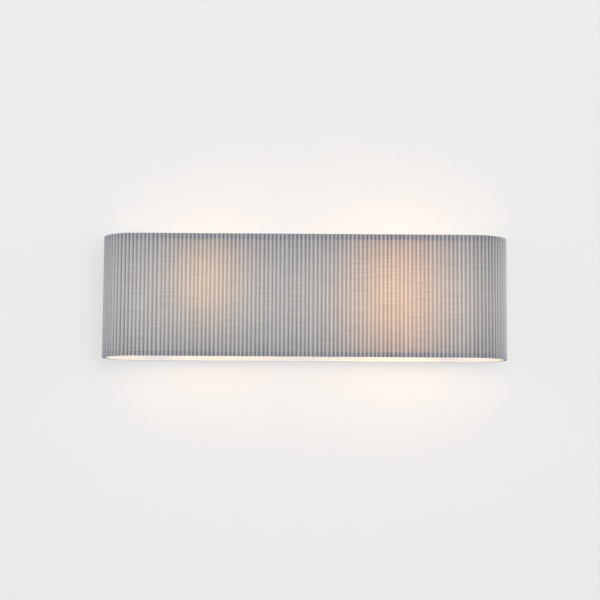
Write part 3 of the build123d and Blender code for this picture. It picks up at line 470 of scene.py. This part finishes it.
def inner_light(material, across, height):
    """The colour of the light inside, with its fall towards the hems and a peak for each lamp."""
    fall = squared(material, arithmetic(material, "DIVIDE", height, INNER_REACH))
    total = combined(material, "SCALE", INNER_LIGHT, arithmetic(material, "SUBTRACT", 1.0, fall))
    for *spot, colour in GLOWS:
        peak = glow_peak(material, across, height, *spot)
        total = combined(material, "ADD", total, combined(material, "SCALE", colour, peak))
    return total


def share_passed(material, outwards, height, depth, weave, slubs):
    """How much of it passes: little at hems and ends, less in valleys and through thick threads."""
    top_edge = SHADE_TOP - HEM_TOP
    bottom_edge = HEM_BOTTOM - SHADE_TOP
    factors = (
        soft_step(material, height, top_edge + HEM_BLUR, top_edge - HEM_BLUR, 0),
        soft_step(material, height, bottom_edge - HEM_BLUR, bottom_edge + HEM_BLUR, 0),
        soft_step(material, outwards, END_FROM, SHADE_HALF_LENGTH, 1, END_DIM),
        spread(material, weave, *WEAVE_PASSES),
        spread(material, slubs, *SLUBS_PASS),
        map_range(material, depth, (0, 1), (RIDGE_LIGHT, VALLEY_LIGHT)),
    )
    passed = factors[0]
    for factor in factors[1:]:
        passed = arithmetic(material, "MULTIPLY", passed, factor)
    return passed


# %% The cloth's finish
def cloth_finish():
    """Threads and folds give the colour, the folds as painted highlight and painted shade, and the light from
    inside is added as emission.
    """
    material, shader = new_material("pleated_linen", CLOTH_LIGHT, CLOTH_ROUGHNESS)
    shader.inputs["Sheen Weight"].default_value = CLOTH_SHEEN
    shader.inputs["Sheen Roughness"].default_value = SHEEN_ROUGHNESS
    fold_map = add_node(material, "ShaderNodeUVMap", uv_map="fold")
    fold = add_node(material, "ShaderNodeSeparateXYZ")
    wire(material, fold_map.outputs["UV"], fold.inputs[0])
    axes = object_axes(material)
    outwards = arithmetic(material, "ABSOLUTE", axes["X"])

    weave, slubs = weave_noise(material)
    tones = two_tone(material, spread(material, weave, 0, 1), CLOTH_DARK, CLOTH_LIGHT)
    tint = spread(material, map_noise(material, *TINT), 0, 1)
    tinted = combined(material, "MULTIPLY", tones, two_tone(material, tint, COOL_TINT, WARM_TINT))
    # The folds' painted highlight and painted shade scale the cloth's colour.
    folded = combined(material, "SCALE", tinted, painted_fold_shade(material, fold.outputs, outwards))
    wire(material, folded, shader.inputs["Base Color"])
    bump(material, shader, weave, WEAVE_RELIEF)

    passed = share_passed(material, outwards, axes["Z"], fold.outputs["X"], weave, slubs)
    through = combined(material, "SCALE", inner_light(material, axes["X"], axes["Z"]), passed)
    wire(material, through, shader.inputs["Emission Color"])
    shader.inputs["Emission Strength"].default_value = 1.0
    return material


pleated_linen = cloth_finish()
print(pleated_linen.name, "has", len(pleated_linen.node_tree.nodes), "nodes")

# %% [markdown]
# ## Folding the cloth
#
# A pleated shade is made from a flat strip that a machine folds, and the folded strip is glued round a
# stiff lining. So the mesh starts from the same facts: the outline of the shade, the number of folds and
# their depth. The outline is a stadium, two straights and two half circles, and any point of the cloth is
# found from its travel round it and from how far inside it lies.

# %% The shade's outline
SHADE_BACK = CLOTH_BOX[1].y
END_RADIUS = (CLOTH_BOX[1].y - CLOTH_BOX[0].y) / 2
HALF_STRAIGHT = SHADE_HALF_LENGTH - END_RADIUS
MIDDLE_Y = SHADE_BACK - END_RADIUS
perimeter = 4 * HALF_STRAIGHT + 2 * math.pi * END_RADIUS


def outline(travel, inset):
    """The point at a travel round the shade from the middle of its back, moved inwards by inset."""
    radius = END_RADIUS - inset
    arc = math.pi * END_RADIUS
    travel %= perimeter
    if travel <= HALF_STRAIGHT:
        return Vector((travel, MIDDLE_Y + radius, 0))
    travel -= HALF_STRAIGHT
    if travel <= arc:
        angle = math.pi / 2 - travel / END_RADIUS
        return Vector((HALF_STRAIGHT + radius * math.cos(angle), MIDDLE_Y + radius * math.sin(angle), 0))
    travel -= arc
    if travel <= 2 * HALF_STRAIGHT:
        return Vector((HALF_STRAIGHT - travel, MIDDLE_Y - radius, 0))
    travel -= 2 * HALF_STRAIGHT
    if travel <= arc:
        angle = -math.pi / 2 - travel / END_RADIUS
        return Vector((-HALF_STRAIGHT + radius * math.cos(angle), MIDDLE_Y + radius * math.sin(angle), 0))
    return Vector((travel - arc - HALF_STRAIGHT, MIDDLE_Y + radius, 0))


print("outline of", round(perimeter, 3), "m")

# %% [markdown]
# One pleat is eight steps long, with a rounded ridge and a rounded valley. Its ridge stands off its middle,
# so that one flank is wider than the other. No machine spaces folds perfectly, so each pleat is a little
# wider or narrower than the next, a little more or less deep, and leans a little on its way down.

# %% Where the pleats lie
PLEAT_PITCH = 5 * MM
PLEAT_DEPTH = 3.2 * MM
# From valley to valley: how far along the pleat each step is, and how deep it lies, as shares.
PLEAT_STEPS = ((0.0, 0.94), (0.06, 0.86), (0.29, 0.50), (0.53, 0.14),
               (0.62, 0.04), (0.69, 0.14), (0.82, 0.50), (0.95, 0.86))
PITCH_SPREAD = 0.055
DEPTH_SPREAD = 0.05
LEAN = 0.16 * MM
pleat_count = round(perimeter / PLEAT_PITCH)

fold_chance = random.Random(11)
shift = [fold_chance.uniform(-PITCH_SPREAD, PITCH_SPREAD) for _ in range(pleat_count)]
deepen = [1 - fold_chance.uniform(0, DEPTH_SPREAD) for _ in range(pleat_count)]
lean = [(fold_chance.uniform(-LEAN, LEAN), fold_chance.uniform(-LEAN, LEAN)) for _ in range(pleat_count)]

columns = []
for pleat in range(pleat_count):
    after = shift[(pleat + 1) % pleat_count]
    for along, depth in PLEAT_STEPS:
        drift = shift[pleat] * (1 - along) + after * along
        travel = (pleat + along + drift) * perimeter / pleat_count
        columns.append((travel, depth * PLEAT_DEPTH * deepen[pleat], pleat, along))
column_count = len(columns)
print(pleat_count, "pleats in", column_count, "columns of points")

# %% [markdown]
# The columns are joined by rows from the lower hem to the upper one. Two rows lie exactly on the edges of
# the window in the shade's back, where the cloth is left out.

# %% Points and faces
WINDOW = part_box("window_frame")
WINDOW_FLANGE = 6 * MM
WINDOW_SIDE_CLEARANCE = 0.3 * MM
WINDOW_CUT_X = WINDOW[1].x - WINDOW_FLANGE + WINDOW_SIDE_CLEARANCE
WINDOW_CUT_Z = WINDOW[1].z - WINDOW_FLANGE
HEM_ROWS = (0.84, 0.91, 0.97, 1)  # as shares of the shade's half height
MIDDLE_ROWS = (-0.48, -0.24, 0, 0.24, 0.48)
row_heights = [-SHADE_TOP * share for share in reversed(HEM_ROWS)] + [-WINDOW_CUT_Z]
row_heights += [SHADE_TOP * share for share in MIDDLE_ROWS] + [WINDOW_CUT_Z]
row_heights += [SHADE_TOP * share for share in HEM_ROWS]

vertices = []
for z in row_heights:
    rise = z / SHADE_TOP
    for travel, inset, pleat, along in columns:
        here, there = lean[pleat], lean[(pleat + 1) % pleat_count]
        sway = (here[0] * (1 - along) + there[0] * along) * rise
        sway += (here[1] * (1 - along) + there[1] * along) * (1 - rise * rise)
        point = outline(travel + sway, inset)
        vertices.append((point.x, point.y, z))

faces = []
for row in range(len(row_heights) - 1):
    middle_z = (row_heights[row] + row_heights[row + 1]) / 2
    for column in range(column_count):
        beside = (column + 1) % column_count
        low, high = row * column_count, (row + 1) * column_count
        corner = vertices[low + column]
        opposite = vertices[low + beside]
        in_window = abs(middle_z) < WINDOW_CUT_Z and corner[1] > MIDDLE_Y
        if in_window and min(abs(corner[0]), abs(opposite[0])) < WINDOW_CUT_X:
            continue
        faces.append((low + beside, low + column, high + column, high + beside))

cloth_mesh = bpy.data.meshes.new("pleated_cloth")
cloth_mesh.from_pydata(vertices, [], faces)
cloth = bpy.data.objects.new("pleated_cloth", cloth_mesh)
bpy.context.collection.objects.link(cloth)
print(len(vertices), "points and", len(faces), "faces, with the window left out")

# %% [markdown]
# Now the two maps. The first needs the length of cloth that is used up at each column, which is also how
# the flat size of the cloth is found. At the seam the last face would run back to nought, so it gets the
# full length instead.

# %% The cloth's two maps
PLEAT_TONE = 0.045  # how much lighter or darker one pleat is than the next
flat_travel = [0.0]
for column in range(column_count):
    first = Vector(vertices[column])
    second = Vector(vertices[(column + 1) % column_count])
    flat_travel.append(flat_travel[-1] + (second - first).length)
tone_chance = random.Random(23)
pleat_tone = [1 + tone_chance.uniform(-PLEAT_TONE, PLEAT_TONE) for _ in range(pleat_count)]

cloth_map = cloth_mesh.uv_layers.new(name="cloth")
fold_map = cloth_mesh.uv_layers.new(name="fold")
for polygon in cloth_mesh.polygons:
    corners = [cloth_mesh.loops[index].vertex_index for index in polygon.loop_indices]
    places = [corner % column_count for corner in corners]
    wraps = 0 in places and column_count - 1 in places
    for index, corner, place in zip(polygon.loop_indices, corners, places):
        u = flat_travel[column_count] if wraps and place == 0 else flat_travel[place]
        cloth_map.data[index].uv = (u, cloth_mesh.vertices[corner].co.z)
        _, inset, pleat, _ = columns[place]
        # u: depth in the fold, read for the cloth's painted highlight and shade; v: the pleat's own tone.
        fold_map.data[index].uv = (min(1.0, inset / PLEAT_DEPTH), pleat_tone[pleat])

# %% [markdown]
# A sheet without thickness looks like paper from above, where its cut edge shows as a zigzag. Unused points
# in the window are removed first, then Solidify grows the wall inwards.

# %% Thickness and finish
CLOTH_THICKNESS = 0.35 * MM
CLOTH_CREASE = math.radians(35)  # edges sharper than this stay sharp


def activate(piece):
    """Makes one piece the only selected one."""
    bpy.ops.object.select_all(action="DESELECT")
    piece.select_set(True)
    bpy.context.view_layer.objects.active = piece


def set_finish(piece, material, body):
    """Material and the body that the piece rides on."""
    piece.data.materials.clear()
    piece.data.materials.append(material)
    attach(piece, body)


activate(cloth)
bpy.ops.object.mode_set(mode="EDIT")
bpy.ops.mesh.select_all(action="SELECT")
bpy.ops.mesh.delete_loose(use_verts=True, use_edges=True, use_faces=False)
bpy.ops.object.mode_set(mode="OBJECT")
thickness = cloth.modifiers.new("thickness", "SOLIDIFY")
thickness.thickness = CLOTH_THICKNESS
thickness.offset = -1
bpy.ops.object.modifier_apply(modifier="thickness")
bpy.ops.object.shade_smooth_by_angle(angle=CLOTH_CREASE)
set_finish(cloth, pleated_linen, "shade")
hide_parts("pleated_fabric")
print("cloth has", len(cloth.data.polygons), "faces")

# %% [markdown]
# ## Tape over the rings
#
# Narrow ribbon is folded over each ring and glued down inside. It is a swept strip: a small section goes
# round the same outline as the cloth. The section has rounded corners, because ribbon never folds sharply.

# %% Sweeping a section round the shade
TAPE_STEP = 4 * MM
TAPE_CREASE = math.radians(50)


def swept_round_shade(name, section):
    """A closed strip with that section, a list of (inset, height), all the way round the shade."""
    steps = round(perimeter / TAPE_STEP)
    points = []
    for step in range(steps):
        for inset, z in section:
            point = outline(step * perimeter / steps, inset)
            points.append((point.x, point.y, z))
    size = len(section)
    quads = []
    for step in range(steps):
        this, following = step * size, (step + 1) % steps * size
        for index in range(size):
            beyond = (index + 1) % size
            quads.append((this + index, this + beyond, following + beyond, following + index))
    mesh = bpy.data.meshes.new(name)
    mesh.from_pydata(points, [], quads)
    piece = bpy.data.objects.new(name, mesh)
    bpy.context.collection.objects.link(piece)
    activate(piece)
    bpy.ops.object.mode_set(mode="EDIT")
    bpy.ops.mesh.select_all(action="SELECT")
    bpy.ops.mesh.normals_make_consistent(inside=False)
    bpy.ops.object.mode_set(mode="OBJECT")
    bpy.ops.object.shade_smooth_by_angle(angle=TAPE_CREASE)
    return piece


# %% The hem tapes
TAPE_THICKNESS = 0.3 * MM
TAPE_ROUND = 0.35 * MM
RING_THICKNESS = 2 * MM

for name, end in (("top", 1), ("bottom", -1)):
    low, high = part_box(f"hem_tape_{name}")
    lining_inset = SHADE_HALF_LENGTH - high.x
    inner_inset = SHADE_HALF_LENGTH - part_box(f"{name}_ring")[1].x + RING_THICKNESS
    face_inset = inner_inset + TAPE_THICKNESS
    ring_foot = low.z if end == 1 else high.z
    crown = high.z if end == 1 else low.z
    under = crown - end * TAPE_THICKNESS
    section = [
        (lining_inset, under),
        (lining_inset, crown - end * TAPE_ROUND / 3),
        (lining_inset + TAPE_ROUND / 3, crown),
        (face_inset - TAPE_ROUND, crown),
        (face_inset - TAPE_ROUND / 4, crown - end * TAPE_ROUND / 4),
        (face_inset, crown - end * TAPE_ROUND),
        (face_inset, ring_foot),
        (inner_inset, ring_foot),
        (inner_inset, under),
    ]
    hem_tape = swept_round_shade(f"folded_tape_{name}", section)
    set_finish(hem_tape, tape, "shade")
    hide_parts(f"hem_tape_{name}")

# %% [markdown]
# ## Finishes of the measured pieces
#
# The steel, the lampholders and the wiring are right as they come, so they keep their shape and only get
# their finish.

# %% Finishing the measured pieces
FINISHES = {
    powder_coat: ["top_ring", "bottom_ring", "window_frame", "upright_left", "upright_right", "carrier_bar",
                  "lower_bar", "back_pan", "cap_nuts", "lamp_bracket_left", "lamp_bracket_right",
                  "bracket_rivets"],
    lining: ["shade_liner"],
    tape: ["liner_seam_tape"],
    zinc: ["wall_bracket", "bracket_studs", "clinch_nuts", "earth_stud", "earth_nut", "earth_tag",
           "nipple_left", "nipple_right", "nipple_nut_left", "nipple_nut_right", "terminal_screws"],
    nickel: ["thumb_screw_left", "thumb_screw_right", "bulb_cap_left", "bulb_cap_right", "screw_shell_left",
             "screw_shell_right"],
    brass: ["terminal_inserts", "contacts_left", "contacts_right", "bulb_tip_left", "bulb_tip_right"],
    holder_plastic: ["lampholder_base_left", "lampholder_base_right", "lampholder_skirt_left",
                     "lampholder_skirt_right"],
    clear_nylon: ["terminal_block"],
    black_rubber: ["cable_bush"],
    black_nylon: ["lead_bush"],
    white_silicone: ["supply_leads", "link_leads"],
    green_silicone: ["earth_lead"],
    black_glass: ["bulb_insulator_left", "bulb_insulator_right"],
    lamp_glass["left"]: ["bulb_glass_left"],
    lamp_glass["right"]: ["bulb_glass_right"],
}
for material, names in FINISHES.items():
    for name in names:
        nodes[name].data.materials.clear()
        nodes[name].data.materials.append(material)
unfinished = sorted(set(nodes) - {name for names in FINISHES.values() for name in names})
print("replaced by new pieces:", unfinished)

# %% [markdown]
# ## The wall and the floor
#
# The wall stands right behind the light, because its shadow and its warm glow belong to the picture. A wall
# in a real room is lit from everywhere, so part of its tone is even, and only the rest is lit and shaded
# here. The even part is emission that only rays of the picture see, so it lights nothing. Seen from behind
# the wall would hide everything, so its back lets the eye through, and so it does with rays that look for a
# lamp.

# %% Rays that end in the picture
def seen_rays(material):
    """One for what is seen straight, in a mirror or through glass, nought for light that only falls."""
    rays = add_node(material, "ShaderNodeLightPath").outputs
    indirect = arithmetic(material, "MAXIMUM", rays["Is Glossy Ray"], rays["Is Transmission Ray"])
    return arithmetic(material, "MAXIMUM", rays["Is Camera Ray"], indirect)


# %% Wall and floor
WALL_COLOUR = (0.855, 0.855, 0.865)
WALL_SEEN = (0.831, 0.831, 0.838)  # the wall's tone in the picture
EVEN_SHARE = 0.64  # how much of that tone is even, the rest being lit and shaded
WALL_SIZE = 7.0
WALL_GAP = 0.2 * MM
FLOOR_COLOUR = (0.78, 0.78, 0.77)
FLOOR_LEVEL = -1.5
PAINT_ROUGHNESS = 0.9


def stage_plane(name, material, size, location, rotation=(0, 0, 0)):
    """A plane that belongs to the stage and not to the object."""
    bpy.ops.mesh.primitive_plane_add(size=size, location=location, rotation=rotation)
    plane = bpy.context.object
    plane.name = name
    plane.data.materials.append(material)


def mixed(material, factor, first, second):
    """One shader or the other, or some of both."""
    mix = add_node(material, "ShaderNodeMixShader")
    for source, target in zip((factor, first, second), mix.inputs):
        wire(material, source, target)
    return mix.outputs[0]


wall_paint, wall_shader = new_material("wall_paint", WALL_COLOUR, PAINT_ROUGHNESS)
even_wall = add_node(wall_paint, "ShaderNodeEmission", Color=(*WALL_SEEN, 1), Strength=1.0)
even_share = arithmetic(wall_paint, "MULTIPLY", seen_rays(wall_paint), EVEN_SHARE)
painted = mixed(wall_paint, even_share, wall_shader.outputs[0], even_wall.outputs[0])
behind = add_node(wall_paint, "ShaderNodeNewGeometry").outputs["Backfacing"]
shadow_ray = add_node(wall_paint, "ShaderNodeLightPath").outputs["Is Shadow Ray"]
clear = add_node(wall_paint, "ShaderNodeBsdfTransparent")
lets_through = arithmetic(wall_paint, "MAXIMUM", behind, shadow_ray)
one_sided = mixed(wall_paint, lets_through, painted, clear.outputs[0])
wire(wall_paint, one_sided, wall_paint.node_tree.nodes["Material Output"].inputs["Surface"])
floor_paint, _ = new_material("floor_paint", FLOOR_COLOUR, PAINT_ROUGHNESS)

stage_plane("wall", wall_paint, WALL_SIZE, (0, WALL_GAP, FLOOR_LEVEL + WALL_SIZE / 2), (math.pi / 2, 0, 0))
stage_plane("floor", floor_paint, 2 * WALL_SIZE, (0, 0, FLOOR_LEVEL))
print("the wall stands", round(WALL_GAP / MM, 1), "mm behind the light")

# %% [markdown]
# ## The light of the room
#
# The room is bright. Most of its light is a wide soft key that comes from the front and a little from the
# right, which gives each pleat a lit and a shaded side, and the rest comes evenly from all round. The
# surroundings look brighter than the light that they give, by the same trick as the wall. A lamp behind the
# wall shows the steel when the light is seen from its back.

# %% The room
WORLD_LIGHT = 0.28
WORLD_SEEN = 0.83
world = bpy.data.worlds.new("room")
bpy.context.scene.world = world
world.use_nodes = True
background = world.node_tree.nodes["Background"]
background.inputs["Color"].default_value = (1, 1, 1, 1)
world_strength = map_range(world, seen_rays(world), (0, 1), (WORLD_LIGHT, WORLD_SEEN))
wire(world, world_strength, background.inputs["Strength"])
print("surroundings give", WORLD_LIGHT, "and are seen as", WORLD_SEEN)

# %% The key and the lamp behind the wall
KEY_STRENGTH = 2.60
KEY_ANGLE = math.radians(50)
KEY_DIRECTION = Vector((-0.19, 1.0, 0.02))
BACK_POWER = 30
BACK_SIZE = 1.6
BACK_PLACE = Vector((-0.6, 1.9, 0.8))


def add_light(kind, name, energy, location, direction):
    """A light that shines in a direction."""
    bpy.ops.object.light_add(type=kind, location=location)
    light = bpy.context.object
    light.name = name
    light.data.energy = energy
    light.rotation_euler = direction.to_track_quat("-Z", "Y").to_euler()
    return light


key_light = add_light("SUN", "room_light", KEY_STRENGTH, (1, -3, 2), KEY_DIRECTION)
key_light.data.angle = KEY_ANGLE
back_light = add_light("AREA", "behind_wall", BACK_POWER, BACK_PLACE, -BACK_PLACE)
back_light.data.size = BACK_SIZE
back_light.visible_camera = False
print("lights:", key_light.name, back_light.name)
